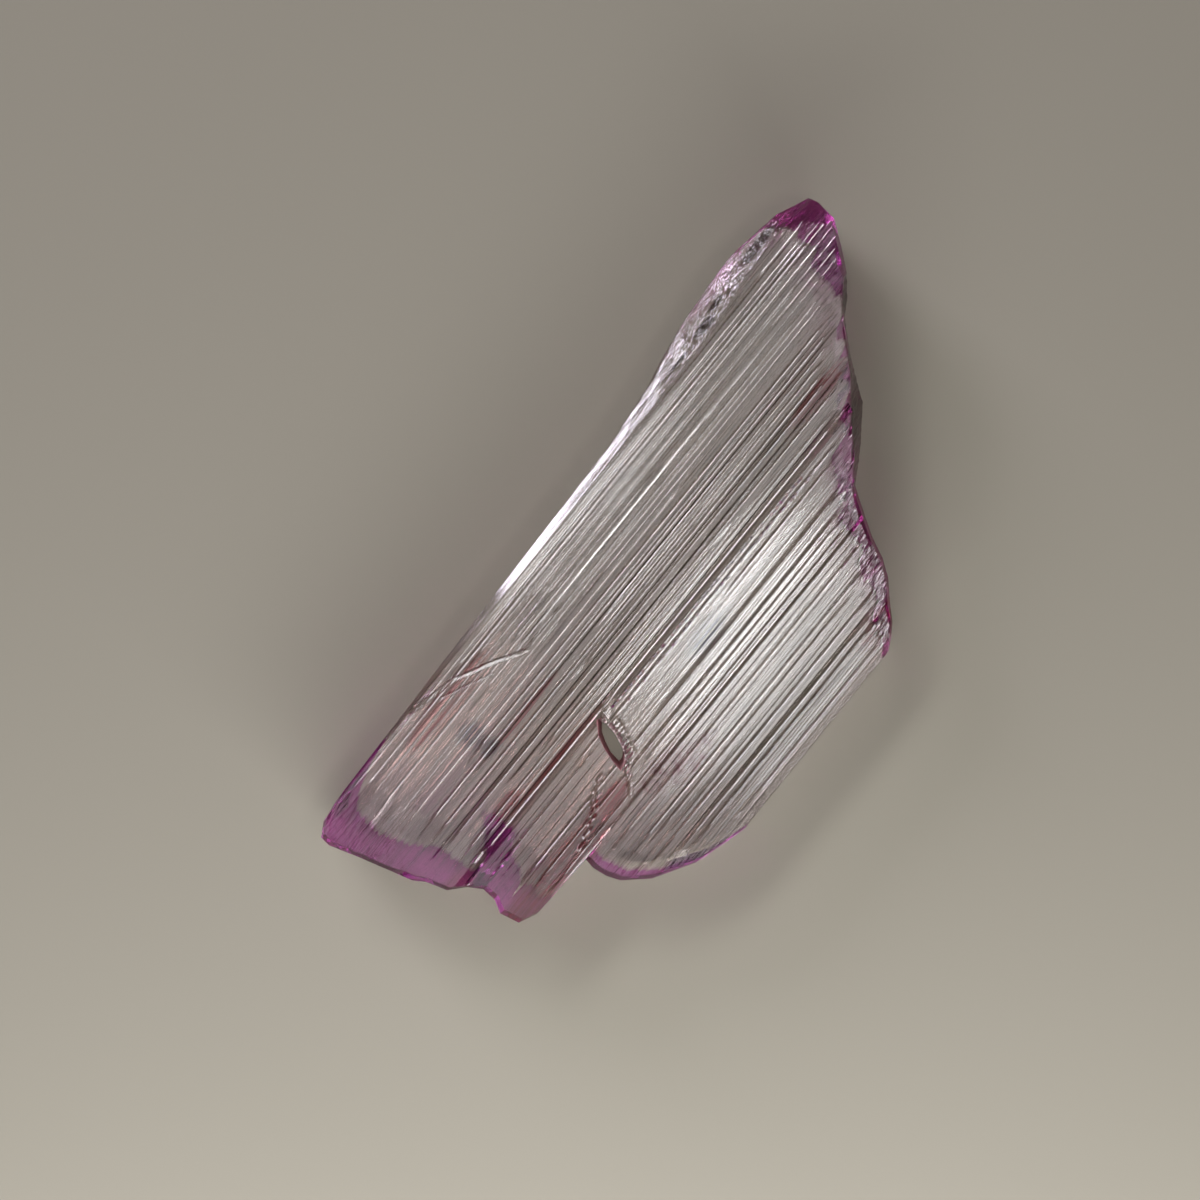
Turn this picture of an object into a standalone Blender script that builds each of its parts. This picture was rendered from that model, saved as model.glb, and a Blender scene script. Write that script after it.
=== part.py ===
"""A flat kunzite crystal, lying on its broad back face.

The crystal is one striated blade. Its prism faces run along X, the crystal's long axis, and carry the
growth striations as straight rows. Both ends are broken into lobes whose back faces slope up to their edge.
Every length below is in millimetres, and MM turns it to metres when the mesh is made.
X runs along the striations to the pointed tip, Y runs across, and Z = 0 is the surface it lies on.
"""

import math
import random

import bmesh
import bpy
import numpy as np

MM = 0.001
NAME = "kunzite_crystal"
SEED = 31

# The lower end, from the right edge (low y) to the left edge (high y).
# y, x of the outline, length and height of the back slope, length and drop of the front lip.
LOWER_END = (
    (-17.6, -12.5, 1.6, 0.7, 0.4, 0.6),
    (-16.0, -17.6, 2.0, 0.9, 0.4, 0.6),
    (-13.7, -21.4, 2.2, 1.0, 0.5, 0.6),
    (-11.5, -23.4, 2.2, 1.0, 0.5, 0.7),
    (-10.2, -23.9, 2.0, 0.9, 0.5, 0.7),
    (-8.7, -24.1, 1.8, 0.8, 0.5, 0.7),
    (-7.65, -23.9, 1.8, 0.8, 0.4, 0.6),
    (-7.3, -30.8, 3.0, 1.3, 0.4, 0.6),
    (-6.5, -32.5, 4.0, 1.8, 0.4, 0.6),
    (-4.6, -32.9, 4.0, 1.8, 0.4, 0.6),
    (-3.4, -32.2, 3.7, 1.6, 0.4, 0.6),
    (-1.9, -32.1, 3.6, 1.6, 0.3, 0.5),
    (-0.6, -32.9, 1.7, 0.8, 0.3, 0.5),
    (0.7, -34.3, 3.0, 1.4, 0.3, 0.5),
    (2.7, -34.9, 3.6, 1.6, 0.3, 0.5),
    (3.8, -35.6, 4.2, 1.9, 0.3, 0.5),
    (6.0, -36.2, 3.4, 1.5, 0.3, 0.5),
    (9.2, -37.1, 3.1, 1.4, 0.3, 0.5),
    (12.0, -38.0, 3.8, 1.7, 0.4, 0.6),
    (13.0, -37.9, 4.2, 1.9, 0.5, 0.7),
    (13.8, -36.6, 4.6, 2.0, 0.8, 0.9),
    (14.1, -34.6, 4.6, 2.0, 1.0, 0.9),
    (14.5, -20.0, 4.0, 1.6, 1.2, 0.6),
    (15.2, 6.9, 3.0, 1.2, 1.0, 0.4),
    (15.9, 14.3, 2.4, 1.2, 0.8, 0.3),
    (16.6, 17.3, 1.6, 1.2, 0.6, 0.3),
    (17.2, 21.5, 1.2, 1.2, 0.4, 0.3),
    (17.6, 27.4, 0.4, 1.4, 0.1, 0.2),
)

# The upper end, with the same columns. Its long front lips between y = -5 and y = 2 uncover the blade behind.
UPPER_END = (
    (-17.6, 9.6, 1.0, 0.4, 0.4, 0.6),
    (-16.1, 11.8, 2.0, 0.9, 0.4, 0.6),
    (-14.7, 13.1, 2.6, 1.1, 0.4, 0.6),
    (-13.1, 14.8, 3.0, 1.3, 0.4, 0.7),
    (-11.5, 15.9, 3.2, 1.4, 0.4, 0.7),
    (-9.5, 16.8, 2.6, 1.1, 0.4, 0.7),
    (-6.2, 18.8, 2.6, 1.1, 0.4, 0.7),
    (-5.1, 19.6, 2.6, 1.1, 0.6, 1.2),
    (-4.6, 20.8, 3.0, 1.3, 1.0, 3.0),
    (-3.1, 23.3, 3.6, 1.5, 1.7, 3.9),
    (-0.8, 26.4, 3.6, 1.5, 2.4, 4.2),
    (1.1, 27.7, 3.4, 1.4, 1.4, 4.0),
    (3.2, 29.1, 1.8, 0.8, 0.6, 2.6),
    (5.6, 31.2, 1.8, 0.8, 0.5, 1.8),
    (6.6, 32.7, 2.4, 1.0, 0.9, 1.6),
    (8.1, 34.5, 3.0, 1.3, 0.8, 1.4),
    (10.2, 36.2, 3.8, 1.7, 0.6, 1.2),
    (12.3, 37.7, 4.4, 1.9, 0.5, 1.0),
    (14.4, 38.0, 4.4, 1.9, 2.6, 1.2),
    (15.4, 37.8, 3.6, 1.6, 4.3, 1.5),
    (16.2, 35.9, 2.2, 1.4, 2.5, 0.9),
    (16.7, 34.8, 1.6, 1.4, 1.5, 0.5),
    (17.1, 32.7, 1.2, 1.4, 0.3, 0.3),
    (17.6, 29.0, 0.4, 1.4, 0.1, 0.2),
)

# The front prism faces across the blade: y and height, without ridges.
FRONT_FACES = (
    (-17.6, 5.3), (-16.7, 6.4), (-7.7, 7.4), (-7.35, 7.62), (-0.5, 8.17), (-0.2, 8.11),
    (0.4, 8.36), (7.0, 8.80), (17.6, 8.48),
)

# The left bevel starts along this line (x, y) and falls this much for each millimetre beyond it.
BEVEL_EDGE = (
    (-40.0, 14.0), (-12.0, 14.0), (6.0, 14.25), (22.0, 14.5), (28.0, 15.3), (33.0, 15.6), (38.5, 15.0),
)
BEVEL_FALL = math.tan(math.radians(34.0))

# The back prism faces: y and height. The crystal lies on the long flat stretch at zero.
BACK_FACES = ((-17.6, 0.35), (-16.7, 0.0), (13.6, 0.0), (15.2, 0.5), (17.6, 1.5))

# The lower left edge slopes in from the back more than the rest: x, width and height of that slope.
LEFT_SLOPE = ((-38.0, 3.4, 1.6), (-33.0, 2.8, 1.2), (-29.0, 2.0, 0.8), (-25.0, 1.0, 0.0))
LEFT_EDGE = ((-38.0, 13.4), (-30.0, 14.3), (-12.0, 14.7))

# Notches in the back between sub-parallel crystals. Each runs from (x, y) to (x, y) and leans to one side of its
# own direction: width and height at its start, then width and height at its end.
BACK_NOTCHES = (
    (-26.6, 2.4, -30.9, -1.5, -1, 0.8, 0.2, 2.4, 0.9),
    (-20.6, -6.9, -31.2, -7.35, 1, 0.8, 0.3, 2.6, 1.1),
    (-16.7, -3.9, -23.2, -6.9, 1, 0.5, 0.3, 0.7, 0.4),
)

# Hollows in the etched bevel: x, y, half length, half width and depth.
HOLLOWS = (
    (21.2, 15.3, 1.0, 0.45, 0.10), (23.6, 15.9, 1.3, 0.5, 0.14), (25.6, 15.7, 0.8, 0.35, 0.08),
    (17.8, 15.1, 1.2, 0.30, 0.07), (30.0, 16.3, 1.4, 0.5, 0.14), (32.9, 16.3, 1.3, 0.5, 0.16),
)

# The deeper growth grooves on the front: y and half width. Their sides slope alike.
GROOVES = (
    (-13.65, 0.13), (-10.6, 0.13), (-8.2, 0.13), (-5.3, 0.13), (-4.0, 0.10), (0.6, 0.14), (2.65, 0.15),
    (3.65, 0.13), (5.65, 0.13), (9.1, 0.10), (11.8, 0.10),
)
GROOVE_SLOPE = math.tan(math.radians(24.0))

# A feathery ledge near the left edge: how wide and deep it is, and the points of its sharp edge.
LEDGE_WIDTH = 0.5
LEDGE_DEPTH = 0.20
LEDGE = (
    (-22.3, 14.3), (-20.7, 13.4), (-18.8, 12.9), (-17.0, 11.9), (-14.6, 11.0), (-12.6, 9.9), (-10.8, 9.2),
    (-9.6, 9.2),
)

# The crack that goes right through: its outline at the foot and at the mouth, point for point.
GAP_FOOT = (
    (-12.9, -0.7), (-13.75, -1.4), (-14.3, -2.3), (-14.75, -3.2), (-14.95, -4.5),
    (-14.5, -4.5), (-13.8, -4.1), (-13.3, -3.2), (-12.95, -2.2), (-12.75, -1.2),
)
GAP_MOUTH = (
    (-12.9, 0.0), (-14.05, -1.1), (-14.65, -2.3), (-15.05, -3.6), (-15.35, -5.0),
    (-14.6, -4.8), (-13.8, -4.2), (-13.3, -3.2), (-12.9, -2.2), (-12.7, -1.0),
)
GAP_LEVELS = (-0.4, 9.0)

RIDGE_WIDTHS = (0.55, 1.25)
RIDGE_DEPTH = 0.08
BACK_RIDGE_DEPTH = 0.05
RIDGE_WAVE = 44.0

# Between these two y the back stays flat, without ridges, and the crystal lies on it.
LAND_FROM, LAND_TO = 5.6, 9.9

# Rows nearer than the gap are one row. Each row has a point at these shares of its length between the slopes.
ROW_GAP = 0.09
SPANS = (0.03, 0.07, 0.11, 0.15, 0.20, 0.27, 0.35, 0.44, 0.53, 0.62, 0.71, 0.80, 0.88, 0.95)

KUNZITE_COLOUR = (0.78, 0.66, 0.82, 1.0)
KUNZITE_IOR = 1.66
KUNZITE_ROUGHNESS = 0.05


def clear_scene():
    for obj in list(bpy.data.objects):
        bpy.data.objects.remove(obj)


def column(table, at, index):
    """One column of a table, read between its rows."""
    rows = np.array(table)
    return float(np.interp(at, rows[:, 0], rows[:, index]))


def ridge_knots(rng):
    """Crests and valleys across the blade: y, front height and back height of each."""
    y = UPPER_END[0][0]
    knots = []
    while y < UPPER_END[-1][0]:
        crest = len(knots) % 2
        front = -RIDGE_DEPTH * rng.uniform(0.0, 0.35) if crest else -RIDGE_DEPTH * rng.uniform(0.5, 1.0)
        back = 0.0 if crest else BACK_RIDGE_DEPTH * rng.uniform(0.3, 1.0)
        knots.append((y, front, back))
        y += rng.uniform(*RIDGE_WIDTHS)
    return knots


def row_places(knots):
    """The rows: each outline point, bevel point, groove and ridge knot, with those that nearly meet merged."""
    outline = sorted(row[0] for row in LOWER_END + UPPER_END + FRONT_FACES)
    bevel = [y for _, y in BEVEL_EDGE]
    grooves = [y + side * half for y, half in GROOVES for side in (-1.0, 0.0, 1.0)]
    rows = []
    for y in outline + bevel + grooves + [knot[0] for knot in knots]:
        if all(abs(y - other) > ROW_GAP for other in rows):
            rows.append(y)
    return sorted(rows)


def groove_depth(y):
    return GROOVE_SLOPE * max(max(0.0, half - abs(y - at)) for at, half in GROOVES)


def ridge_share(x, y):
    """Ridges fade and return along the blade, and leave the left bevel plain."""
    if y > column(BEVEL_EDGE, x, 1):
        return 0.0
    return 0.7 + 0.3 * math.sin(2.0 * math.pi * x / RIDGE_WAVE + 1.7 * y)


def notch_height(x, y):
    """Height of the back face inside the notches: a steep wall on the line, falling away to one side."""
    highest = 0.0
    for x0, y0, x1, y1, side, width0, height0, width1, height1 in BACK_NOTCHES:
        run, rise = x1 - x0, y1 - y0
        length = math.hypot(run, rise)
        along = ((x - x0) * run + (y - y0) * rise) / length**2
        # On the left of the line's own direction the distance is positive.
        left = (run * (y - y0) - rise * (x - x0)) / length
        away = -side * left
        if not 0.0 <= along <= 1.15 or away < 0.0:
            continue
        width = width0 + (width1 - width0) * min(along, 1.0)
        height = height0 + (height1 - height0) * min(along, 1.0)
        highest = max(highest, height * (1.0 - away / width))
    return highest


def left_slope_height(x, y):
    width, height = column(LEFT_SLOPE, x, 1), column(LEFT_SLOPE, x, 2)
    inside = column(LEFT_EDGE, x, 1) - y
    return height * min(1.0, max(0.0, 1.0 - inside / width))


def front_height(x, y, knots, lower, upper):
    z = column(FRONT_FACES, y, 1)
    z += (column(knots, y, 1) - groove_depth(y)) * ridge_share(x, y)
    z -= BEVEL_FALL * max(0.0, y - column(BEVEL_EDGE, x, 1))
    for end, distance in ((LOWER_END, x - lower), (UPPER_END, upper - x)):
        lip, drop = column(end, y, 4), column(end, y, 5)
        z -= drop * max(0.0, 1.0 - distance / lip)
    return z


def back_height(x, y, knots, lower, upper):
    z = column(BACK_FACES, y, 1)
    if not LAND_FROM < y < LAND_TO:
        z += column(knots, y, 2) * ridge_share(x + 5.0, y)
    slopes = [z, notch_height(x, y), left_slope_height(x, y)]
    for end, distance in ((LOWER_END, x - lower), (UPPER_END, upper - x)):
        slope, height = column(end, y, 2), column(end, y, 3)
        slopes.append(height * max(0.0, 1.0 - distance / slope))
    return max(slopes)


def row_points(y):
    """Places along one row: close together on both ends' slopes, then even shares of what is left."""
    lower, upper = column(LOWER_END, y, 1), column(UPPER_END, y, 1)
    room = 0.3 * (upper - lower)
    near = []
    for end in (LOWER_END, UPPER_END):
        slope = min(column(end, y, 2), room)
        lip = min(column(end, y, 4), 0.5 * slope)
        near.append((0.0, lip, 0.5 * (lip + slope), slope))
    first, last = lower + near[0][-1], upper - near[1][-1]
    inner = [first + share * (last - first) for share in SPANS]
    return lower, upper, [lower + d for d in near[0]] + inner + [upper - d for d in reversed(near[1])]


def blade_mesh():
    """The front and back faces as two sheets over one grid of rows, closed by a wall round their edge."""
    knots = ridge_knots(random.Random(SEED))
    blade = bmesh.new()
    fronts, backs = [], []
    for y in row_places(knots):
        lower, upper, places = row_points(y)
        front = [(x, y, front_height(x, y, knots, lower, upper)) for x in places]
        back = [(x, y, min(back_height(x, y, knots, lower, upper), z - 1.0)) for x, _, z in front]
        fronts.append([blade.verts.new(point) for point in front])
        backs.append([blade.verts.new(point) for point in back])
    for sheet, outward in ((fronts, True), (backs, False)):
        for row, above in zip(sheet, sheet[1:]):
            for i in range(len(row) - 1):
                ring = (row[i], row[i + 1], above[i + 1], above[i])
                blade.faces.new(ring if outward else ring[::-1])
    for top, bottom in zip(edge_loop(fronts), edge_loop(backs)):
        blade.faces.new((top[1], top[0], bottom[0], bottom[1]))
    bmesh.ops.triangulate(blade, faces=blade.faces)
    return blade


def edge_loop(sheet):
    """The pairs of neighbouring points round a sheet, counter-clockwise from above."""
    ring = list(sheet[0])
    ring += [row[-1] for row in sheet[1:]]
    ring += list(reversed(sheet[-1][:-1]))
    ring += [row[0] for row in reversed(sheet[1:-1])]
    return list(zip(ring, ring[1:] + ring[:1]))


def mesh_object(name, shape):
    mesh = bpy.data.meshes.new(name)
    for vert in shape.verts:
        vert.co *= MM
    shape.to_mesh(mesh)
    shape.free()
    obj = bpy.data.objects.new(name, mesh)
    bpy.context.scene.collection.objects.link(obj)
    return obj


def loft(name, rings):
    """A closed cutter through rings of points, hidden from the picture."""
    shape = bmesh.new()
    rows = [[shape.verts.new(point) for point in ring] for ring in rings]
    for row, after in zip(rows, rows[1:]):
        for i in range(len(row)):
            j = (i + 1) % len(row)
            shape.faces.new((row[i], row[j], after[j], after[i]))
    shape.faces.new(rows[0][::-1])
    shape.faces.new(rows[-1])
    return hidden(mesh_object(name, shape))


def hidden(cutter):
    cutter.hide_render = True
    cutter.display_type = "WIRE"
    return cutter


def gap_cutter():
    """The space of the crack, wider at its mouth than at its foot."""
    rings = [[(x, y, z) for x, y in outline] for outline, z in zip((GAP_FOOT, GAP_MOUTH), GAP_LEVELS)]
    return loft("gap_cutter", rings)


def ledge_cutter():
    """A strip that leaves a sharp edge on its left side and rises to the face on its right side."""
    rings = []
    for x, y in LEDGE:
        top = column(FRONT_FACES, y, 1)
        rings.append((
            (x, y, top - LEDGE_DEPTH),
            (x, y, top + 1.0),
            (x, y - LEDGE_WIDTH, top + 1.0),
            (x, y - LEDGE_WIDTH, top),
        ))
    return loft("ledge_cutter", rings)


def hollow_cutter(x, y, half_length, half_width, depth):
    """An egg that dips into the bevel by the hollow's depth."""
    shape = bmesh.new()
    bmesh.ops.create_icosphere(shape, subdivisions=2, radius=1.0)
    surface = column(FRONT_FACES, y, 1) - BEVEL_FALL * (y - column(BEVEL_EDGE, x, 1))
    for vert in shape.verts:
        vert.co.x = x + half_length * vert.co.x
        vert.co.y = y + half_width * vert.co.y
        vert.co.z = surface - depth + half_width * (1.0 + vert.co.z)
    return hidden(mesh_object("hollow_cutter", shape))


def cut_away(crystal, cutter):
    cut = crystal.modifiers.new(cutter.name, "BOOLEAN")
    cut.operation = "DIFFERENCE"
    cut.solver = "EXACT"
    cut.object = cutter


def kunzite_material():
    """Clear, faintly violet spodumene with glassy faces."""
    material = bpy.data.materials.new("kunzite")
    material.use_nodes = True
    shader = material.node_tree.nodes["Principled BSDF"]
    shader.inputs["Base Color"].default_value = KUNZITE_COLOUR
    shader.inputs["Roughness"].default_value = KUNZITE_ROUGHNESS
    shader.inputs["IOR"].default_value = KUNZITE_IOR
    shader.inputs["Transmission Weight"].default_value = 1.0
    shader.inputs["Metallic"].default_value = 0.0
    return material


def kunzite_crystal():
    crystal = mesh_object(NAME, blade_mesh())
    crystal.data.materials.append(kunzite_material())
    cut_away(crystal, gap_cutter())
    cut_away(crystal, ledge_cutter())
    for hollow in HOLLOWS:
        cut_away(crystal, hollow_cutter(*hollow))
    return crystal


clear_scene()
kunzite_crystal()
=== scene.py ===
"""The kunzite crystal as it looks: a clear, pale violet, striated blade lying on a pale studio floor.

Lengths are in millimetres until a mesh is made, and MM turns them to metres. X runs along the growth
striations to the pointed tip, Y runs across the blade, and Z = 0 is the floor.
"""

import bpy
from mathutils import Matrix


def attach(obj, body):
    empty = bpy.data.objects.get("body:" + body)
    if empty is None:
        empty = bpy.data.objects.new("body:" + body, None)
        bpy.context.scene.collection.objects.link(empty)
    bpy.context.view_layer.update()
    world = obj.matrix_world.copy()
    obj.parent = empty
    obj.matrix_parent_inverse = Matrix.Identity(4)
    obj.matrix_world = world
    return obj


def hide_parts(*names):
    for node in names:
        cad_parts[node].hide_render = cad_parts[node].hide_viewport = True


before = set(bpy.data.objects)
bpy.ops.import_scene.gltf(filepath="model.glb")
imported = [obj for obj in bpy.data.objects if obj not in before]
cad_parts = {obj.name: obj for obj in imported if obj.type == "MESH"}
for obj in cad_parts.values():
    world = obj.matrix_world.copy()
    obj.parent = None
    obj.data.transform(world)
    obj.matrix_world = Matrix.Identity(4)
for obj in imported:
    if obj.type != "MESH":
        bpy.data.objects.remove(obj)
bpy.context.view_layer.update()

import math
import random

import bmesh
import bpy
import numpy as np
from mathutils import Vector

MM = 0.001
NODE = "kunzite_crystal"
SEED = 31

# ---- The crystal's driving dimensions ----

# The lower end, from the right edge (low y) to the left edge (high y).
# y, x of the outline, length and height of the back slope, length and drop of the front lip.
LOWER_END = np.array((
    (-17.6, -12.5, 1.6, 0.7, 0.4, 0.6),
    (-16.0, -17.6, 2.0, 0.9, 0.4, 0.6),
    (-13.7, -21.4, 2.2, 1.0, 0.5, 0.6),
    (-11.5, -23.4, 2.2, 1.0, 0.5, 0.7),
    (-10.2, -23.9, 2.0, 0.9, 0.5, 0.7),
    (-8.7, -24.1, 1.8, 0.8, 0.5, 0.7),
    (-7.65, -23.9, 1.8, 0.8, 0.4, 0.6),
    (-7.3, -30.8, 3.0, 1.3, 0.4, 0.6),
    (-6.5, -32.5, 4.0, 1.8, 0.4, 0.6),
    (-4.6, -32.9, 4.0, 1.8, 0.4, 0.6),
    (-3.4, -32.2, 3.7, 1.6, 0.4, 0.6),
    (-1.9, -32.1, 3.6, 1.6, 0.3, 0.5),
    (-0.6, -32.9, 1.7, 0.8, 0.3, 0.5),
    (0.7, -34.3, 3.0, 1.4, 0.3, 0.5),
    (2.7, -34.9, 3.6, 1.6, 0.3, 0.5),
    (3.8, -35.6, 4.2, 1.9, 0.3, 0.5),
    (6.0, -36.2, 3.4, 1.5, 0.3, 0.5),
    (9.2, -37.1, 3.1, 1.4, 0.3, 0.5),
    (12.0, -38.0, 3.8, 1.7, 0.4, 0.6),
    (13.0, -37.9, 4.2, 1.9, 0.5, 0.7),
    (13.8, -36.6, 4.6, 2.0, 0.8, 0.9),
    (14.1, -34.6, 4.6, 2.0, 1.0, 0.9),
    (14.5, -20.0, 4.0, 1.6, 1.2, 0.6),
    (15.2, 6.9, 3.0, 1.2, 1.0, 0.4),
    (15.9, 14.3, 2.4, 1.2, 0.8, 0.3),
    (16.6, 17.3, 1.6, 1.2, 0.6, 0.3),
    (17.2, 21.5, 1.2, 1.2, 0.4, 0.3),
    (17.6, 27.4, 0.4, 1.4, 0.1, 0.2),
))

# The upper end, with the same columns. Its front lips between y = -5 and y = 8 form a bulge of their own.
UPPER_END = np.array((
    (-17.6, 9.6, 1.0, 0.4, 0.4, 0.6),
    (-16.1, 11.8, 2.0, 0.9, 0.4, 0.6),
    (-14.7, 13.1, 2.6, 1.1, 0.4, 0.6),
    (-13.1, 14.8, 3.0, 1.3, 0.4, 0.7),
    (-11.5, 15.9, 3.2, 1.4, 0.4, 0.7),
    (-9.5, 16.8, 2.6, 1.1, 0.4, 0.7),
    (-6.2, 18.8, 2.6, 1.1, 0.4, 0.7),
    (-5.1, 19.6, 2.6, 1.1, 0.6, 1.2),
    (-4.6, 20.8, 3.0, 1.3, 1.0, 3.0),
    (-3.1, 23.3, 3.6, 1.5, 1.7, 3.9),
    (-0.8, 26.4, 3.6, 1.5, 2.4, 4.2),
    (1.1, 27.7, 3.4, 1.4, 1.4, 4.0),
    (3.2, 29.1, 1.8, 0.8, 0.6, 2.6),
    (5.6, 31.2, 1.8, 0.8, 0.5, 1.8),
    (6.6, 32.7, 2.4, 1.0, 0.9, 1.6),
    (8.1, 34.5, 3.0, 1.3, 0.8, 1.4),
    (10.2, 36.2, 3.8, 1.7, 0.6, 1.2),
    (12.3, 37.7, 4.4, 1.9, 0.5, 1.0),
    (14.4, 38.0, 4.4, 1.9, 2.6, 1.2),
    (15.4, 37.8, 3.6, 1.6, 4.3, 1.5),
    (16.2, 35.9, 2.2, 1.4, 2.5, 0.9),
    (16.7, 34.8, 1.6, 1.4, 1.5, 0.5),
    (17.1, 32.7, 1.2, 1.4, 0.3, 0.3),
    (17.6, 29.0, 0.4, 1.4, 0.1, 0.2),
))

# The columns of both tables that hold the back slope and the front lip.
BACK_SLOPE, FRONT_LIP = (2, 3), (4, 5)

# The violet bands along the two ends: y and width. Their inner borders jump where one growth layer ends.
LOWER_BAND = np.array((
    (-17.6, 1.0), (-11.5, 1.5), (-7.65, 1.5), (-7.3, 2.6), (-5.2, 4.2), (-4.6, 3.8), (-4.45, 1.8),
    (-4.25, 3.4), (-3.4, 3.9), (-1.9, 4.4), (-1.4, 4.4), (-0.6, 2.9), (0.0, 2.4), (0.7, 3.0),
    (2.7, 3.6), (4.0, 4.2), (5.0, 3.7), (6.2, 3.3), (9.2, 3.1), (10.4, 3.6), (12.2, 4.6), (13.6, 7.0),
    (14.1, 8.0), (14.3, 0.0), (17.6, 0.0),
))
UPPER_BAND = np.array((
    (-17.6, 1.2), (-14.2, 3.0), (-13.7, 2.0), (-12.2, 2.4), (-11.1, 3.0), (-9.8, 2.4), (-9.6, 1.6),
    (-7.9, 2.2), (-5.65, 3.2), (-5.55, 1.6), (-4.7, 2.2), (-4.4, 3.6), (-1.6, 5.4), (-1.4, 3.0),
    (0.2, 3.8), (1.0, 1.4), (2.4, 2.4), (2.9, 0.6), (3.6, 1.9), (4.1, 0.5), (5.0, 1.7), (5.5, 1.9),
    (6.0, 0.5), (7.3, 1.2), (7.6, 2.0), (11.3, 4.4), (11.6, 3.2), (13.0, 4.0), (15.6, 3.8), (16.4, 2.4),
    (17.6, 0.6),
))

# The front prism faces across the blade: y and height.
FRONT_FACES = np.array((
    (-17.6, 5.3), (-16.7, 6.4), (-7.7, 7.4), (-7.35, 7.62), (-0.5, 8.17), (-0.2, 8.11),
    (0.4, 8.36), (7.0, 8.80), (17.6, 8.48),
))
# The left bevel starts along this line (x, y) and falls this much for each millimetre beyond it.
BEVEL_EDGE = np.array((
    (-40.0, 14.0), (-12.0, 14.0), (6.0, 14.25), (22.0, 14.5), (28.0, 15.3), (33.0, 15.6), (38.5, 15.0),
))
BEVEL_FALL = math.tan(math.radians(34.0))
# The back prism faces: y and height. The crystal lies on the long flat stretch at zero.
BACK_FACES = np.array(((-17.6, 0.35), (-16.7, 0.0), (13.6, 0.0), (15.2, 0.5), (17.6, 1.5)))

# The lower left edge slopes in from the back more than the rest: x, width and height of that slope.
LEFT_SLOPE = np.array(((-38.0, 3.4, 1.6), (-33.0, 2.8, 1.2), (-29.0, 2.0, 0.8), (-25.0, 1.0, 0.0)))
LEFT_EDGE = np.array(((-38.0, 13.4), (-30.0, 14.3), (-12.0, 14.7)))

# Notches in the back between sub-parallel crystals: start (x, y), end (x, y), the side it leans to (1 is
# towards high y), width and height at its start, then width and height at its end.
BACK_NOTCHES = (
    (-26.6, 2.4, -30.9, -1.5, -1, 1.0, 0.05, 2.6, 0.5),
    (-20.6, -6.9, -31.2, -7.35, 1, 0.8, 0.3, 2.6, 1.1),
    (-16.7, -3.9, -23.2, -6.9, 1, 0.5, 0.3, 0.7, 0.4),
)
# A notch runs on past its end by this share, so that it reaches the outline.
NOTCH_REACH = 1.15
# The violet field over the first notch, from its far corner on.
NOTCH_FIELD = ((-26.4, 2.8), (-31.6, -1.7), (-28.0, -2.0), (-26.0, -1.2), (-25.6, 1.8))

# Sharp V grooves in the front face, with shade painted darkest along the foot: y, half width, x from and x
# to.
GROOVES = (
    (-16.2, 0.07, -12.0, 10.0), (-15.1, 0.05, -12.0, 6.0), (-13.65, 0.10, -21.0, 13.0),
    (-12.2, 0.06, -19.0, 9.0), (-10.6, 0.08, -22.0, 15.0), (-9.4, 0.05, -8.0, 12.0),
    (-8.2, 0.06, -22.0, 16.0), (-6.6, 0.05, -30.0, -16.0), (-5.3, 0.05, -16.0, 18.5),
    (-4.6, 0.05, -31.0, -14.0), (-4.0, 0.05, -10.0, 20.0), (-3.3, 0.05, -30.0, -12.0),
    (-2.5, 0.05, -31.0, -13.0), (-1.7, 0.07, -32.0, -14.0), (-1.1, 0.05, -31.0, 6.0),
    (-0.5, 0.05, -32.0, -14.0), (0.6, 0.11, -32.0, 25.0), (1.4, 0.05, -24.0, 16.0),
    (2.65, 0.12, -24.0, 28.0), (3.65, 0.10, -34.0, 27.0), (4.4, 0.05, -30.0, 12.0),
    (5.65, 0.10, -25.0, 31.0), (6.4, 0.05, -10.0, 32.0), (7.6, 0.05, -33.0, -4.0),
    (9.1, 0.05, -30.0, 30.0), (9.7, 0.05, -12.0, 20.0), (10.4, 0.05, -34.0, 10.0),
    (10.95, 0.05, -10.0, 33.0), (11.8, 0.06, -34.0, 20.0), (12.4, 0.05, -18.0, 34.0),
    (13.2, 0.05, -12.0, 34.0), (8.5, 0.06, -11.5, -6.5), (9.35, 0.07, -12.5, -6.0),
    (9.95, 0.08, -12.2, -7.0), (10.7, 0.06, -12.6, -7.6), (11.15, 0.06, -11.6, -6.6),
)
GROOVE_SLOPE = math.tan(math.radians(24.0))
# A groove with this half width or more takes the darkest painted shade that a groove gets.
WIDE_GROOVE = 0.10

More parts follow.
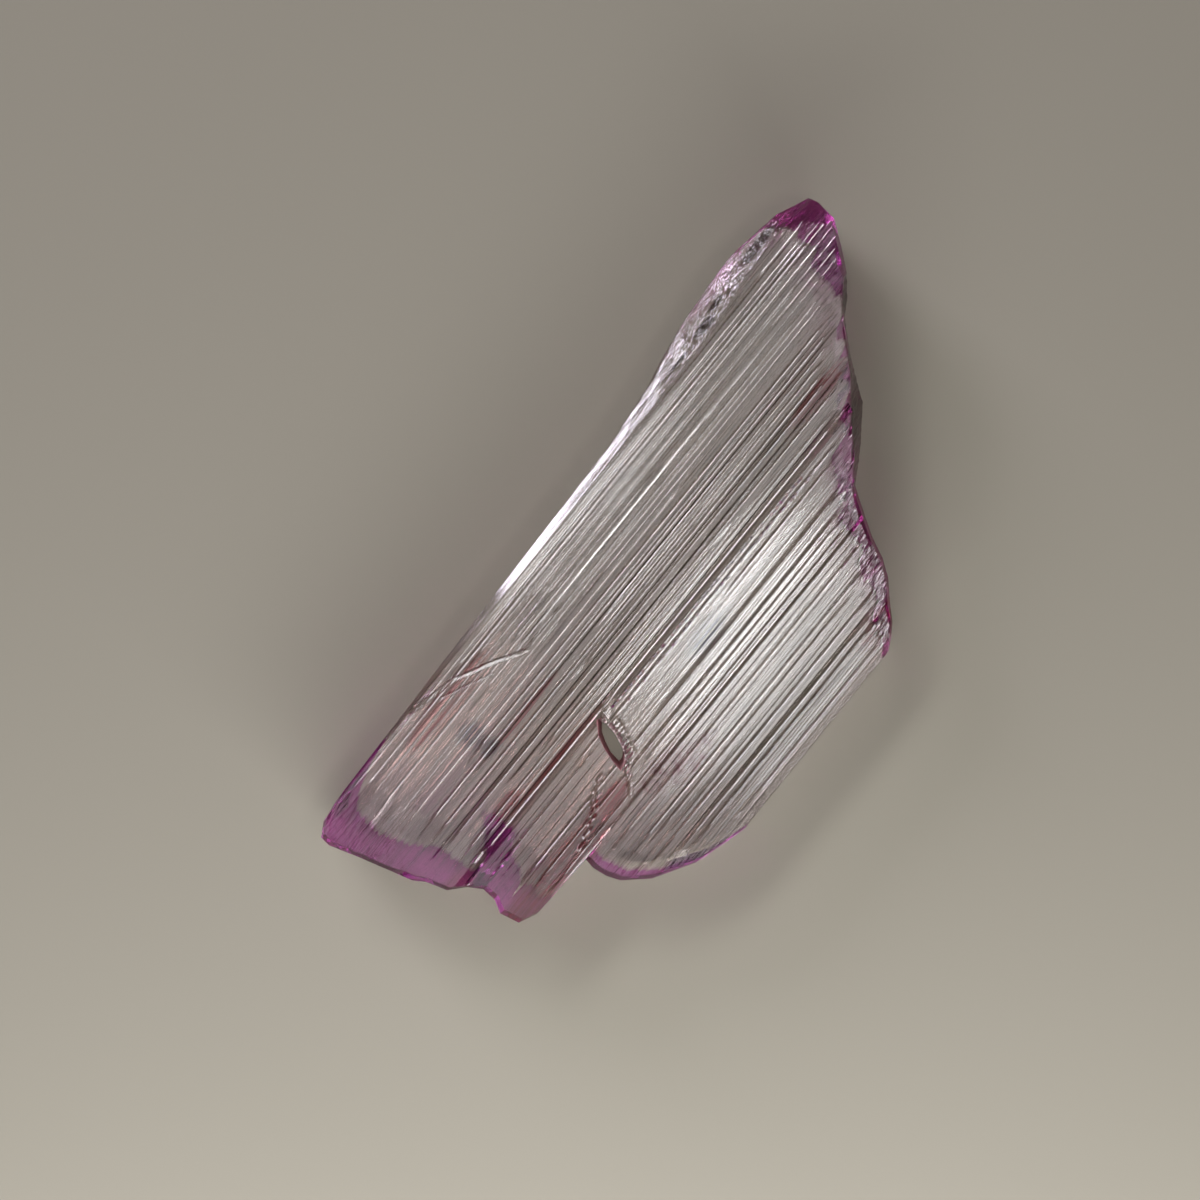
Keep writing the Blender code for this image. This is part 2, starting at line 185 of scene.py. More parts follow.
# Narrow growth steps on the front, all falling at one angle towards high y: y, width, x from and x to.
STEPS = (
    (-16.4, 0.06, -12.0, 10.0), (-14.85, 0.11, -18.0, 13.0), (-14.1, 0.06, -19.0, 12.0),
    (-12.9, 0.07, -21.0, 14.0), (-11.5, 0.06, -20.0, 12.0), (-10.85, 0.08, -22.0, 16.0),
    (-9.1, 0.09, -23.0, 16.0), (-7.0, 0.06, -30.0, 18.0), (-6.2, 0.04, -16.0, 18.0),
    (-5.6, 0.05, -31.0, 19.0), (-4.4, 0.08, -31.0, 20.0), (-2.1, 0.05, 2.0, 22.0),
    (-1.8, 0.08, -31.0, -14.0), (-1.3, 0.08, -20.0, 24.0), (0.1, 0.13, -32.0, 25.0),
    (0.9, 0.06, -31.0, 26.0), (1.5, 0.06, -33.0, 10.0), (2.0, 0.08, -20.0, 27.0),
    (3.2, 0.08, -33.0, 28.0), (3.9, 0.08, -12.0, 28.0), (4.6, 0.07, -33.0, 29.0),
    (5.2, 0.06, -6.0, 30.0), (5.9, 0.09, -33.0, 31.0), (6.7, 0.08, -25.0, 32.0),
    (7.5, 0.06, -34.0, 12.0), (8.1, 0.06, -5.0, 33.0), (8.6, 0.06, -34.0, 33.0),
    (9.7, 0.08, -20.0, 41.0), (10.3, 0.06, -35.0, 0.0), (11.1, 0.08, -34.0, 42.0),
    (11.9, 0.08, -10.0, 42.0), (12.65, 0.12, -34.0, 42.0), (13.1, 0.10, -20.0, 42.0),
    (13.5, 0.12, -35.0, 42.0), (14.3, 0.09, 26.0, 42.0), (10.4, 0.08, 24.0, 42.0),
)
STEP_SLOPE = math.tan(math.radians(25.0))
# The face climbs back to its height over this width behind a step.
STEP_RETURN = 0.24
# Grooves and steps fade over this length at both ends, and over this share of a short one.
LINE_FADE = 4.0
FADE_SHARE = 0.3

# The crack that goes right through: its outline at the foot and at the mouth, point for point, and the
# heights of the two.
GAP_FOOT = (
    (-12.9, -0.7), (-13.75, -1.4), (-14.3, -2.3), (-14.75, -3.2), (-14.95, -4.5),
    (-14.5, -4.5), (-13.8, -4.1), (-13.3, -3.2), (-12.95, -2.2), (-12.75, -1.2),
)
GAP_MOUTH = (
    (-12.9, 0.0), (-14.05, -1.1), (-14.65, -2.3), (-15.05, -3.6), (-15.35, -5.0),
    (-14.6, -4.8), (-13.8, -4.2), (-13.3, -3.2), (-12.9, -2.2), (-12.7, -1.0),
)
GAP_LEVELS = (-0.4, 9.0)

# Flat ridges between the lines: their width from crest to valley, their greatest depths on the front and
# the back, and the shares of those depths that a front crest, a front valley and a back valley take.
RIDGE_WIDTHS = (0.55, 1.25)
RIDGE_DEPTH = 0.006
BACK_RIDGE_DEPTH = 0.03
CREST_SHARES, VALLEY_SHARES, BACK_VALLEY_SHARES = (0.0, 0.35), (0.5, 1.0), (0.3, 1.0)
# Ridges rise and fade along the blade in waves of this length and share, and shift from row to row.
RIDGE_WAVE = 44.0
RIDGE_FADE = 0.3
RIDGE_SHIFT = 1.7
BACK_SHIFT = 5.0
# The strip of the back that has no ridges, for the crystal to lie on.
LAND_FROM, LAND_TO = 6.6, 8.9
# The back never comes closer to the front than this.
LEAST_THICKNESS = 1.0

# The end slopes differ a little from row to row, which gives their inner borders their teeth.
TOOTH_SHARE = 0.12
TOOTH_WIDTH = 0.7
TOOTH_JITTER = 0.2
# An end slope takes up this share of its row at most.
LONGEST_SLOPE = 0.3

# The fine grid over both faces: the pitch of its rows across the blade, the least share of it between two
# rows, and the points of a row on each end slope and between them.
ROW_PITCH = 0.075
LEAST_PITCH = 0.3
SLOPE_POINTS = 7
INNER_POINTS = 120
# The back keeps every so many columns of the grid, and the wall has this many rings of points.
BACK_EVERY = 6
WALL_LEVELS = 4
# The relative spacing of a row's inner points from each x on, closer where there is more to show. The rows
# of the left bevel, above this y, have a table of their own.
BEVEL_ROWS_FROM = 14.1
FACE_SPACING = np.array((
    (-40.0, 0.9), (-31.5, 0.5), (-24.0, 0.36), (-17.0, 0.18), (-11.0, 1.6), (40.0, 1.6),
))
BEVEL_SPACING = np.array((
    (-40.0, 2.0), (-24.0, 1.0), (-12.0, 2.5), (8.0, 1.0), (18.0, 0.3), (34.0, 0.5), (36.0, 1.5),
    (40.0, 1.5),
))

# Fine growth striations: spacing across, length along and depth. Noise keeps near its middle, so a gain
# raises its swing. The back and the wall read it in other places than the front does.
STRIATION_PITCH = 0.17
STRIATION_RUN = 260.0
STRIATION_DEPTH = 0.0028
NOISE_MIDDLE = 0.5
STRIATION_GAIN = 4.0
BACK_GIRTH = 50.0
WALL_GIRTH = 3.0
# The etched places are rougher: size of the grain, how much longer it is along X, and depth.
ETCH_GRAIN = 0.36
ETCH_STRETCH = 2.4
ETCH_DEPTH = 0.34
# How etched each place is: the lower and upper bands, the bulge, and the left bevel by x.
LOWER_ETCHED, UPPER_ETCHED, BULGE_ETCHED = 0.05, 0.14, 0.7
BEVEL_ETCHED = np.array((
    (-4.0, 0.0), (4.0, 0.06), (14.0, 0.14), (18.0, 0.4), (22.5, 1.1), (26.0, 0.5), (30.0, 1.1),
    (33.0, 1.0), (35.0, 0.3), (38.0, 0.0),
))

# A feathery fracture: ledges that sink towards a sharp crooked edge. Width, and the points of the edge.
LEDGES = (
    (0.48, ((-23.4, 14.1), (-20.8, 13.5), (-18.5, 12.9))),
    (0.42, ((-18.5, 12.9), (-16.6, 11.9), (-14.6, 10.9), (-12.9, 9.8), (-11.8, 9.2))),
    (0.22, ((-20.6, 12.6), (-18.0, 11.4), (-15.6, 10.2))),
)
LEDGE_SLOPE = math.tan(math.radians(26.0))

# Smaller fractures are rows of short bright growth steps that follow a crooked line:
# how far apart they lie across the blade, their width, their length and the points of the line.
FEATHERS = (
    (0.22, 0.18, 1.5, ((-10.5, 0.5), (-11.3, 0.0), (-12.0, -0.9))),
    (0.42, 0.20, 1.2, ((-11.9, -1.3), (-12.2, -2.6), (-12.8, -3.8), (-13.4, -5.0))),
    (0.36, 0.20, 0.9, ((-14.2, -4.8), (-14.9, -5.6), (-15.6, -6.4), (-16.3, -7.2))),
    (0.40, 0.18, 1.2, ((-16.8, -3.8), (-18.6, -4.6), (-20.2, -5.8), (-23.0, -6.7))),
)
# The same fractures are frosted: half width, how etched they are, and the points of the line. The frost
# is full in its inner third and fades from there.
FROSTED = (
    (0.20, 0.50, ((-14.0, 10.4), (-12.6, 9.5), (-11.6, 9.2))),
    (0.35, 0.35, ((-12.5, -1.0), (-12.6, -2.4), (-13.0, -3.6), (-13.7, -4.7), (-14.6, -5.4))),
    (0.25, 0.40, ((-14.6, -5.4), (-15.6, -6.4), (-16.3, -7.2))),
)
FROST_FADE = 1.5

# The veil of tiny rectangular pits: its ends, the front face that it lies in, then its lattice, the size
# of a pit and the share left out. A pit narrows to its floor, and its mouth is lifted clear of the face.
VEIL_START, VEIL_END = (-11.0, -0.85), (17.5, -0.95)
VEIL_FACE = FRONT_FACES[3:5]
VEIL_SIZES = {"Length": VEIL_END[0] - VEIL_START[0], "Height": 0.62, "Pit Size": 0.26, "Pit Depth": 0.16}
VEIL_COUNTS = {"Missing": 0.2, "Columns": 40, "Rows": 2}
PIT_FLOOR = 0.20
PIT_LIFT = 0.04
# How far a pit strays from its place, as a share of its size, and the smallest and largest pit.
PIT_JITTER = Vector((0.3, 0.2, 0.0))
SMALLEST_PIT, LARGEST_PIT = (0.6, 0.6, 0.8), (1.25, 0.95, 1.3)
# A pit's floor lies between these depths, this close to the veil's line. It takes painted shade between
# these x and the rose tint elsewhere, each up to its share.
FLOOR_FROM, FLOOR_TO = 0.06, 0.2
VEIL_MIDDLE, VEIL_HALF_WIDTH = -0.9, 0.85
PIT_SHADE_FROM, PIT_SHADE_TO = 1.5, 10.0
PIT_SHADE, ROSE_PIT = 0.9, 0.8

# Hollows in the etched bevel: x, y, half length, half width and depth.
HOLLOWS = (
    (21.2, 15.3, 1.0, 0.45, 0.18), (23.6, 15.9, 1.3, 0.5, 0.22), (25.6, 15.7, 0.8, 0.35, 0.14),
    (17.8, 15.1, 1.2, 0.30, 0.07), (30.0, 16.3, 1.4, 0.5, 0.24), (32.9, 16.3, 1.3, 0.5, 0.24),
)

# Names of the values that the mesh carries from point to point.
GIRTH = "girth"
BAND = "violet_band"
BULGE = "bulge"
# Painted shade: the dark tint of the grooves, fine lines, pit floors and bevel patches.
PAINTED_SHADE = "line"
ETCHED = "etched"
DEEP = "deep"
MAROON = "maroon"
ROSE = "rose"
PINK = "pink"
SMUDGE = "smudge"
SHADE_HATCH = "hatch"

# Patches of these: how firm they are, then x, y, half length and half width of each. A firm patch keeps
# its full strength almost to its edge.
PATCHES = {
    # Painted shade in the left bevel: dark patches for the dark surroundings that it mirrors, as dark as the
    # grooves.
    PAINTED_SHADE: (1.5, (
        (22.2, 15.35, 1.9, 0.55), (24.4, 15.9, 1.2, 0.35), (18.0, 15.1, 1.6, 0.25), (31.2, 16.3, 3.2, 0.6),
    )),
    # Pink veils beside the crack and along the right edge of the lower end.
    PINK: (2.4, ((-12.6, -7.9, 3.4, 1.5), (-10.2, -9.5, 3.6, 1.3), (-27.5, -6.7, 8.5, 1.3))),
    # Violet-grey smudges inside.
    SMUDGE: (1.3, ((-0.2, -3.1, 3.6, 1.3), (-21.5, 8.2, 1.7, 1.8), (-21.3, 6.0, 1.4, 0.9))),
    # Rose streaks, most of them in the lower end.
    ROSE: (2.2, (
        (-27.5, -6.6, 9.5, 2.4), (-27.0, -6.7, 9.5, 2.0), (-24.6, 1.4, 2.2, 1.1), (-19.0, -5.9, 4.0, 1.3),
        (-20.5, 11.8, 7.0, 1.4), (-17.0, 5.65, 6.0, 0.4), (-18.0, 0.5, 9.0, 0.35), (14.0, -15.6, 7.0, 1.6),
        (24.0, 3.0, 5.0, 1.0),
    )),
    # Places where the painted shade of the fine lines crowds together.
    SHADE_HATCH: (1.6, (
        (-9.4, 9.6, 3.6, 2.8), (-29.5, 2.6, 4.0, 3.0), (-17.0, -11.0, 6.0, 3.6), (-1.0, -14.6, 12.0, 2.6),
        (18.0, 2.2, 12.0, 1.6),
    )),
    # Clouds of dull violet in the two ends.
    DEEP: (1.0, (
        (33.4, 9.6, 1.2, 1.6), (17.0, -6.8, 2.2, 1.6), (-36.0, 6.0, 3.0, 8.0), (21.5, -3.0, 3.6, 2.4),
    )),
    # Maroon places in the rim of the lower end.
    MAROON: (1.5, ((-30.0, -6.4, 6.0, 2.6), (-33.5, 0.2, 3.0, 1.4))),
}
# The lower band turns dull from this far inside its border, over this distance, up to this share.
DULL_FROM, DULL_OVER, DULL_SHARE = 1.2, 2.0, 0.5
# How maroon the rim of the upper end is in each row. Violet turns to it between these x.
MAROON_ROWS = np.array(((-17.6, 1.0), (5.0, 1.0), (9.0, 0.3), (11.0, 0.3), (13.5, 0.8), (17.6, 1.0)))
MAROON_FROM, MAROON_TO = -6.0, 6.0
# The lower end takes a faint rose tint that fades out between these x.
ROSE_FROM, ROSE_TO = -36.0, -10.0
FAINT_ROSE = 0.12
# The bulge lies between these y.
BULGE_FROM, BULGE_TO = -5.2, 8.2
# The distances to the borders of the bands and of the bulge are kept within this reach.
BORDER_REACH = 2.0

# ---- The crystal's finish ----

KUNZITE_IOR = 1.66
GLASSY_ROUGHNESS, ETCHED_ROUGHNESS = 0.06, 0.16
CLEAR_TINT = "#FFFCF5"
# The other tints, in the order in which they are laid over it, and the band's tint where it is maroon. The
# tint of the grooves, fine lines, pit floors and bevel patches is painted shade.
TINTS = {
    PINK: "#A23860", SMUDGE: "#3A3668", ROSE: "#C4505C", PAINTED_SHADE: "#483A3A", BAND: "#C634C4",
    DEEP: "#B484A4", BULGE: "#2A1E18",
}
MAROON_TINT = "#AC2C88"
# The borders of the bands are ragged by this much either way, and blurred.
BAND_TEETH = 0.5
BAND_BLUR = 0.28
# The body colour, and how strongly it acts over a metre. It shows only where the eye looks along the blade.
ABSORPTION_TINT = "#E455D8"
ABSORPTION_PER_METRE = 5.0
# What breaks up the tints: clouds of this size, and growth layers this thick, drawn out as X is shrunk.
# Each pattern goes from none to full over its stretch of the noise.
CLOUD_SIZE = 1.2
CLOUD_FROM, CLOUD_TO = 0.15, 0.75
LAYER_THICKNESS = 0.35
LAYER_SHRINK = 0.03
STREAK_FROM, STREAK_TO, PALEST_STREAK = 0.30, 0.60, 0.4
# In the hatch patches, shade is painted on the growth layers between these values, up to this share.
CROWDED_FROM, CROWDED_TO, CROWDED_SHADE = 0.50, 0.60, 0.6
# The finest striations, too fine for the mesh: spacing, depth, how much X is shrunk, and the stretch of the
# noise over which shade is painted on them, up to this share.
FINEST_PITCH = 0.15
FINEST_DEPTH = 0.0036
FINEST_SHRINK = 0.008
FINEST_FROM, FINEST_TO, FINEST_SHADE = 0.55, 0.64, 0.40

STAIN_COLOUR = "#B4787E"
STAIN_PALE = "#E6C4C8"
STAIN_SIZE = 0.5
STAIN_ROUGHNESS, STAIN_SPECULAR = 0.8, 0.2

# ---- The studio ----

# The camera's view: its width in pixels, its scale at this height, the pixel where X = Y = 0 lies, and the
# angle of the striations.
VIEW_PIXELS = 1200
PIXELS_PER_MM, SCALE_HEIGHT = 10.6, 7.0
CRYSTAL_PIXEL = (682.5, 611.8)
STRIATION_ANGLE = math.radians(50.9)
LENS_MM, SENSOR_MM = 85.0, 36.0
CLIP_START = 0.01
# The view's right and up directions on the floor.
VIEW_RIGHT = Vector((math.cos(STRIATION_ANGLE), -math.sin(STRIATION_ANGLE), 0.0))
VIEW_UP = Vector((math.sin(STRIATION_ANGLE), math.cos(STRIATION_ANGLE), 0.0))

FLOOR_COLOUR = "#949084"
FLOOR_ROUGHNESS = 0.9
FLOOR_HALF_SIZE = 1.6

# Softboxes, in metres and watts: name, place, where it points, width and height, power, colour and shape.
WHITE, LILAC, WARM = "#FFFFFF", "#F6EFFF", "#FFD8CE"
SOFTBOXES = (
    ("overhead_softbox", (0.01, -0.08, 0.70), (0.01, -0.08, 0.0), (0.28, 0.32), 0.38),
    # Beyond the left bevel. The growth steps mirror the high one as bright lines, and the bevel the low one.
    ("step_softbox", (0.0, 0.80, 0.70), (0.0, 0.0, 0.0), (0.42, 0.18), 2.2),
    ("bevel_softbox", (0.10, 0.90, 0.28), (0.02, 0.0, 0.0), (0.28, 0.26), 4.6, LILAC),
    # Low down, for the floor in front.
    ("lower_softbox", -0.15 * VIEW_UP + Vector((0.0, 0.0, 0.072)), -0.04 * VIEW_UP, (0.24, 0.05), 0.38),
    # Mirrored by the front faces of the lower end.
    ("warm_strip_softbox", (-0.067, 0.055, 0.70), (-0.067, 0.055, 0.0), (0.062, 0.07), 0.17, WARM),
    ("warm_strip_softbox", (-0.067, -0.098, 0.70), (-0.067, -0.098, 0.0), (0.062, 0.06), 0.10, WARM),
    ("warm_strip_softbox", (-0.067, -0.145, 0.70), (-0.067, -0.145, 0.0), (0.062, 0.03), 0.04, WARM),
    ("warm_strip_softbox", (-0.067, -0.205, 0.70), (-0.067, -0.205, 0.0), (0.062, 0.03), 0.03, WARM),
    # Mirrored by the right-hand front face as one soft sheen.
    ("sheen_softbox", (0.012, -0.115, 0.50), (0.0, -0.006, 0.0), (0.08, 0.025), 0.06, WHITE, "ELLIPSE"),
    ("glow_softbox", (0.018, -0.127, 0.48), (0.004, -0.006, 0.0), (0.11, 0.05), 0.05, WHITE, "ELLIPSE"),
    ("low_glow_softbox", (0.014, -0.150, 0.48), (0.004, -0.009, 0.0), (0.07, 0.05), 0.024, WHITE, "ELLIPSE"),
    # Mirrored by the ledges of the feathery fracture.
    ("feather_softbox", (0.36, 0.81, 0.70), (0.0, 0.0, 0.0), (0.38, 0.22), 2.7),
)
# The lamp that shines down the crack: where it points, how many times as far off as the camera it hangs,
# its power, the angle and blur of its beam, and its radius in metres.
GAP_MIDDLE = (-14.0, -3.0, 0.0)
GAP_LAMP_REACH = 2.0
GAP_LAMP_POWER = 5.0
GAP_LAMP_BEAM, GAP_LAMP_BLUR = math.radians(0.9), 0.6
GAP_LAMP_RADIUS = 0.003

WORLD_COLOUR, WORLD_STRENGTH = "#F1EEE8", 0.04
MOST_BOUNCES, MIRROR_BOUNCES = 32, 16


def linear(code):
    """An sRGB hex colour as linear red, green, blue and 1."""
    parts = [int(code[i:i + 2], 16) / 255.0 for i in (1, 3, 5)]
    return tuple(c / 12.92 if c <= 0.04045 else ((c + 0.055) / 1.055) ** 2.4 for c in parts) + (1.0,)


def add(tree, kind, settings=None, **inputs):
    """Adds a node: settings are its properties, and each input is a value or the socket that feeds it."""
    node = tree.nodes.new(kind)
    for name, value in (settings or {}).items():
        setattr(node, name, value)
    for name, value in inputs.items():
        socket = node.inputs[int(name[1:])] if name[1:].isdigit() else node.inputs[name.replace("_", " ")]
        if isinstance(value, bpy.types.NodeSocket):
            tree.links.new(value, socket)
        else:
            socket.default_value = value
    return node


def new_object(name, mesh):
    obj = bpy.data.objects.new(name, mesh)
    bpy.context.scene.collection.objects.link(obj)
    return obj


# ---- Shape ----

def column(table, at, index):
    return np.interp(at, table[:, 0], table[:, index])


def ridge_knots(rng):
    """Crests and valleys across the blade: y, front height and back height of each."""
    y = UPPER_END[0][0]
    knots = []
    while y < UPPER_END[-1][0]:
        crest = len(knots) % 2
        front = -RIDGE_DEPTH * rng.uniform(*(CREST_SHARES if crest else VALLEY_SHARES))
        back = 0.0 if crest else BACK_RIDGE_DEPTH * rng.uniform(*BACK_VALLEY_SHARES)
        knots.append((y, front, back))
        y += rng.uniform(*RIDGE_WIDTHS)
    return np.array(knots)


def ridge_share(x, y):
    """Ridges fade and return along the blade, and leave the left bevel plain."""
    share = 1.0 - RIDGE_FADE + RIDGE_FADE * np.sin(2.0 * math.pi * x / RIDGE_WAVE + RIDGE_SHIFT * y)
    return share * (y < column(BEVEL_EDGE, x, 1))


def line_share(x, start, stop):
    """How strongly a line shows along its length: it fades at both ends."""
    fade = min(LINE_FADE, FADE_SHARE * (stop - start))
    return np.clip(np.minimum(x - start, stop - x) / fade, 0.0, 1.0)


def grooves(x, y):
    depths = []
    for at, half_width, start, stop in GROOVES:
        side = np.clip(half_width - np.abs(y - at), 0.0, None)
        depths.append(GROOVE_SLOPE * side * line_share(x, start, stop))
    return np.max(depths, axis=0)


def painted_groove_shade(x, y):
    """How much painted shade each point takes: 1 along the foot of each wide groove, less along the narrow
    ones, and 0 between them.
    """
    shares = []
    for at, half_width, start, stop in GROOVES:
        side = np.clip(1.0 - np.abs(y - at) / half_width, 0.0, 1.0)
        shares.append(side * line_share(x, start, stop) * min(1.0, half_width / WIDE_GROOVE))
    return np.max(shares, axis=0)


def fall_and_rise(x, y, at, width, back, start, stop):
    """The depth of one growth step: a narrow fall made good over a stretch behind it."""
    fall = np.clip((y - at) / width, 0.0, 1.0)
    rise = np.clip((y - at - width) / back, 0.0, 1.0)
    lifted = column(FRONT_FACES, at + width, 1) - column(FRONT_FACES, at, 1)
    return (STEP_SLOPE * width + lifted) * (fall - rise) * line_share(x, start, stop)


def steps(x, y):
    """How deep the growth steps lie, those of the feathery fractures among them."""
    total = np.zeros_like(x)
    for at, width, start, stop in STEPS:
        total += fall_and_rise(x, y, at, width, STEP_RETURN, start, stop)
    for at, width, back, start, stop in feather_steps():
        total += fall_and_rise(x, y, at, width, back, start, stop)
    return total


def bevel(x, y):
    """The fall of the left bevel with its hollows."""
    beyond = np.clip(y - column(BEVEL_EDGE, x, 1), 0.0, None)
    depths = []
    for at_x, at_y, half_length, half_width, depth in HOLLOWS:
        depths.append(depth * patch(x, y, at_x, at_y, half_length, half_width))
    return BEVEL_FALL * beyond + np.max(depths, axis=0) * (beyond > 0.0)


def feather_steps():
    """Every short step of the feathery fractures: y, width, width of its rise, x from and x to."""
    found = []
    for pitch, width, length, points in FEATHERS:
        path = np.array(points)[::-1]
        for y in np.arange(path[0, 1], path[-1, 1], pitch):
            x = float(np.interp(y, path[:, 1], path[:, 0]))
            found.append((y, width, pitch - width, x - 0.5 * length, x + 0.5 * length))
    return found


def beside_line(x, y, x0, y0, x1, y1):
    """Where a place lies by a line: the share of the line's length, and how far to its left."""
    run, rise = x1 - x0, y1 - y0
    length = math.hypot(run, rise)
    along = ((x - x0) * run + (y - y0) * rise) / length**2
    return along, (run * (y - y0) - rise * (x - x0)) / length


def ledges(x, y):
    """How deep the ledges of the feathery fracture lie: deepest along their crooked edge."""
    depth = np.zeros_like(x)
    for width, points in LEDGES:
        for start, end in zip(points, points[1:]):
            along, left = beside_line(x, y, *start, *end)
            inside = (along >= 0.0) & (along <= 1.0) & (left <= 0.0) & (left > -width)
            depth = np.maximum(depth, np.where(inside, LEDGE_SLOPE * (width + left), 0.0))
    return depth


def frosting(x, y):
    """How etched a place is by the frosted fractures that pass near it."""
    share = np.zeros_like(x)
    for half_width, strength, points in FROSTED:
        for (x0, y0), (x1, y1) in zip(points, points[1:]):
            along = np.clip(beside_line(x, y, x0, y0, x1, y1)[0], 0.0, 1.0)
            away = np.hypot(x - x0 - along * (x1 - x0), y - y0 - along * (y1 - y0))
            fade = np.clip(FROST_FADE - FROST_FADE * away / half_width, 0.0, 1.0)
            share = np.maximum(share, strength * fade)
    return share


def patch(x, y, centre_x, centre_y, half_length, half_width):
    """1 in the middle of an oval patch, falling smoothly to 0 at its edge."""
    far = ((x - centre_x) / half_length) ** 2 + ((y - centre_y) / half_width) ** 2
    return np.clip(1.0 - far, 0.0, 1.0)


def notch_height(x, y):
    highest = np.zeros_like(x)
    for x0, y0, x1, y1, side, width0, height0, width1, height1 in BACK_NOTCHES:
        along, left = beside_line(x, y, x0, y0, x1, y1)
        away = -side * left
        share = np.clip(along, 0.0, 1.0)
        width = width0 + (width1 - width0) * share
        height = height0 + (height1 - height0) * share
        inside = (along >= 0.0) & (along <= NOTCH_REACH) & (away >= 0.0)
        highest = np.maximum(highest, np.where(inside, height * (1.0 - away / width), 0.0))
    return highest


def left_slope(x, y):
    inside = column(LEFT_EDGE, x, 1) - y
    return column(LEFT_SLOPE, x, 2) * np.clip(1.0 - inside / column(LEFT_SLOPE, x, 1), 0.0, 1.0)


def field(x, y, corners):
    """How far inside a convex outline a place is, and negative outside."""
    sides = zip(corners, corners[1:] + corners[:1])
    return np.min([beside_line(x, y, *start, *end)[1] for start, end in sides], axis=0)


def slope_length(end, y, index):
    """The length of an end's slope, with a tooth or a dent every TOOTH_WIDTH or so across the blade."""
    rng = np.random.default_rng(SEED + len(end))
    count = int((LOWER_END[-1, 0] - LOWER_END[0, 0]) / TOOTH_WIDTH)
    teeth = np.linspace(LOWER_END[0, 0], LOWER_END[-1, 0], count)
    teeth += rng.uniform(-TOOTH_JITTER, TOOTH_JITTER, count)
    lengthened = np.interp(y, teeth, rng.uniform(-1.0, 1.0, count))
    return column(end, y, index) * (1.0 + TOOTH_SHARE * lengthened)


def end_slopes(x, y, lower, upper, width, height):
    """The slopes of the two ends: width and height name the columns to read."""
    rises = []
    for end, distance in ((LOWER_END, x - lower), (UPPER_END, upper - x)):
        share = np.clip(1.0 - distance / slope_length(end, y, width), 0.0, 1.0)
        rises.append(column(end, y, height) * share)
    return rises


def front_height(x, y, knots, lower, upper):
    z = column(FRONT_FACES, y, 1) + column(knots, y, 1) * ridge_share(x, y)
    sunk = ledges(x, y)
    z -= np.where(sunk > 0.0, sunk, steps(x, y) + grooves(x, y)) + bevel(x, y)
    return z - sum(end_slopes(x, y, lower, upper, *FRONT_LIP))


def back_height(x, y, knots, lower, upper):
    land = (y > LAND_FROM) & (y < LAND_TO)
    ridges = np.where(land, 0.0, column(knots, y, 2) * ridge_share(x + BACK_SHIFT, y))
    rises = [notch_height(x, y), left_slope(x, y)] + end_slopes(x, y, lower, upper, *BACK_SLOPE)
    return np.maximum.reduce([column(BACK_FACES, y, 1) + ridges] + rises)


def row_places():
    """Rows on every groove, step and outline point, with even ones in the gaps between them."""
    fixed = [*LOWER_END[:, 0], *UPPER_END[:, 0], *FRONT_FACES[:, 0], LAND_FROM, LAND_TO]
    fixed += [at + side * half for at, half, _, _ in GROOVES for side in (-1.0, 0.0, 1.0)]
    fixed += [at + share * width for at, width, _, _ in STEPS for share in (0.0, 1.0)]
    kept = [LOWER_END[0, 0]]
    for y in sorted(fixed):
        if y - kept[-1] > LEAST_PITCH * ROW_PITCH:
            kept.append(y)
    rows = [kept[0]]
    for start, end in zip(kept, kept[1:]):
        count = max(1, round((end - start) / ROW_PITCH))
        rows += [start + (end - start) * (k + 1) / count for k in range(count)]
    return np.array(rows)


def inner_places(first, last, spacing):
    """x of the inner points of each row, closer together where the table says so."""
    numbers = np.concatenate([[0.0], np.cumsum(np.diff(spacing[:, 0]) / spacing[:-1, 1])])
    start = np.interp(first, spacing[:, 0], numbers)[:, None]
    stop = np.interp(last, spacing[:, 0], numbers)[:, None]
    return np.interp(start + (stop - start) * np.linspace(0.0, 1.0, INNER_POINTS), numbers, spacing[:, 0])


def grid_places():
    """x and y of every grid point, row by row, with the ends of each row."""
    y = row_places()
    lower, upper = column(LOWER_END, y, 1), column(UPPER_END, y, 1)
    room = LONGEST_SLOPE * (upper - lower)
    low_slope = np.minimum(slope_length(LOWER_END, y, BACK_SLOPE[0]), room)
    high_slope = np.minimum(slope_length(UPPER_END, y, BACK_SLOPE[0]), room)
    near = np.linspace(0.0, 1.0, SLOPE_POINTS, endpoint=False)
    first, last = lower + low_slope, upper - high_slope
    on_face = inner_places(first, last, FACE_SPACING)
    on_bevel = inner_places(first, last, BEVEL_SPACING)
    x = np.concatenate([
        lower[:, None] + low_slope[:, None] * near,
        np.where(y[:, None] < BEVEL_ROWS_FROM, on_face, on_bevel),
        (upper[:, None] - high_slope[:, None] * near)[:, ::-1],
    ], axis=1)
    return x, np.repeat(y[:, None], x.shape[1], axis=1), lower[:, None], upper[:, None]


def strip_faces(index, outward=True):
    """Quads between the neighbouring rows of a grid of point numbers."""
    corners = [index[:-1, :-1], index[:-1, 1:], index[1:, 1:], index[1:, :-1]]
    return np.stack(corners if outward else corners[::-1], axis=-1).reshape(-1, 4)


def thinned_faces(index):
    """Faces on the sparse columns of a grid, whose first and last rows still use every point."""
    columns = list(range(0, index.shape[1] - 1, BACK_EVERY)) + [index.shape[1] - 1]
    inner = index[1:-1, columns]
    faces = strip_faces(inner, outward=False).tolist()
    for k, (start, stop) in enumerate(zip(columns, columns[1:])):
        faces.append([*index[0, start:stop + 1][::-1], inner[0, k], inner[0, k + 1]])
        faces.append([*index[-1, start:stop + 1], inner[-1, k + 1], inner[-1, k]])
    return faces


def edge_ring(index):
    """The point numbers round a grid's edge, counter-clockwise from above."""
    return np.concatenate([index[0], index[1:, -1], index[-1, -2::-1], index[-2:0:-1, 0]])


